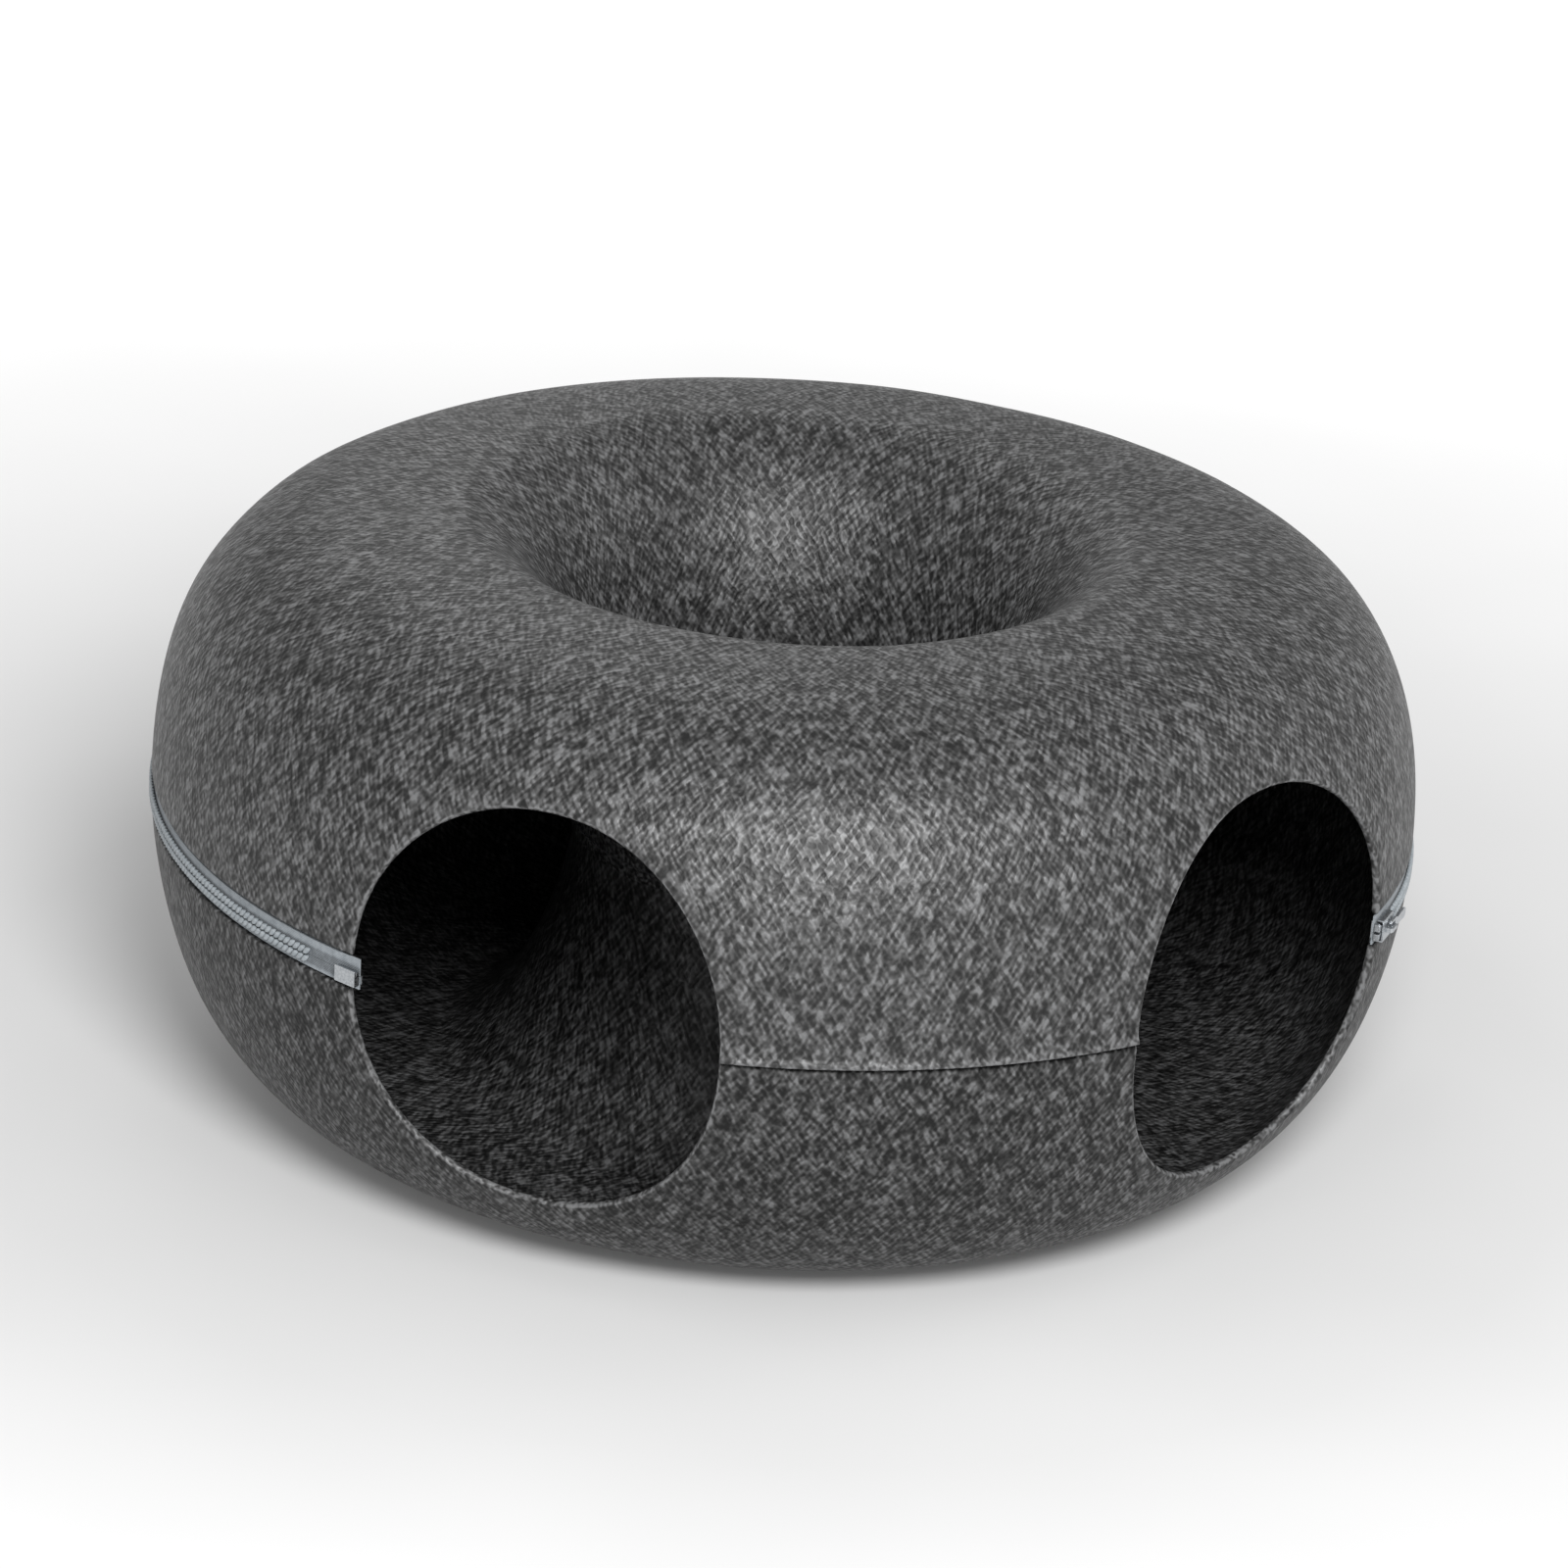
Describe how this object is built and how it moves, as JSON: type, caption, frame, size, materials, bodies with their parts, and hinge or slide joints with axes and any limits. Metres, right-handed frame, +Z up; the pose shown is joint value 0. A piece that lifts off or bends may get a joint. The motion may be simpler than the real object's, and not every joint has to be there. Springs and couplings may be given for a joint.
{
  "type": "donut cat tunnel",
  "caption": "Ring-shaped felt cat tunnel with front entrances and a centre hole; zippers round its outer wall and hole wall let the upper half open like a clamshell.",
  "frame": {"origin": "on the floor, under the middle of the ring", "axes": "+Z up; -Y towards the front, midway between the entrances; +X to the right seen from the front"},
  "size_m": [0.613, 0.6113, 0.28],
  "materials": {
    "felt": "pressed wool felt, heathered dark grey",
    "zip_tape": "woven polyester tape, light blue grey",
    "zip_coil": "nylon coil, light blue grey",
    "zip_metal": "plated zinc alloy, satin silver",
    "thread": "sewing thread, dark grey"
  },
  "bodies": {
    "lower_half": {"lower_shell": "felt", "hinge_seam_thread": "thread", "outer_zip_tape_lower": "zip_tape", "outer_zip_coil_lower": "zip_coil", "outer_zip_thread_lower": "thread", "outer_zip_stop_lower": "zip_metal", "outer_zip_box": "zip_metal", "inner_zip_tape_lower": "zip_tape", "inner_zip_coil_lower": "zip_coil", "inner_zip_thread_lower": "thread", "inner_zip_stop_lower": "zip_metal", "inner_zip_box": "zip_metal"},
    "upper_half": {"upper_shell": "felt", "outer_zip_tape_upper": "zip_tape", "outer_zip_coil_upper": "zip_coil", "outer_zip_thread_upper": "thread", "outer_zip_stop_upper": "zip_metal", "inner_zip_tape_upper": "zip_tape", "inner_zip_coil_upper": "zip_coil", "inner_zip_thread_upper": "thread", "inner_zip_stop_upper": "zip_metal", "outer_zip_pin": "zip_metal", "inner_zip_pin": "zip_metal"},
    "outer_slider": {"outer_zip_slider": "zip_metal"},
    "outer_pull": {"outer_zip_pull": "zip_metal"},
    "inner_slider": {"inner_zip_slider": "zip_metal"},
    "inner_pull": {"inner_zip_pull": "zip_metal"}
  },
  "joints": [
    {"name": "lid_hinge", "type": "hinge", "parent": "lower_half", "child": "upper_half", "pos_m": [0, -0.305, 0.1415], "axis": [1, 0, 0], "range_deg": [0, 180]},
    {"name": "outer_zip_slide", "type": "hinge", "parent": "lower_half", "child": "outer_slider", "pos_m": [0, 0, 0.1415], "axis": [0, 0, 1], "range_deg": [0, 251.5]},
    {"name": "outer_pull_swing", "type": "hinge", "parent": "outer_slider", "child": "outer_pull", "pos_m": [0.24903, -0.1831, 0.1415], "axis": [0, 0, -1], "range_deg": [0, 175]},
    {"name": "inner_zip_slide", "type": "hinge", "parent": "lower_half", "child": "inner_slider", "pos_m": [0, 0, 0.1415], "axis": [0, 0, 1], "range_deg": [0, 317.2]},
    {"name": "inner_pull_swing", "type": "hinge", "parent": "inner_slider", "child": "inner_pull", "pos_m": [0.02878, -0.08622, 0.1415], "axis": [0, 0, 1], "range_deg": [0, 175]}
  ]
}
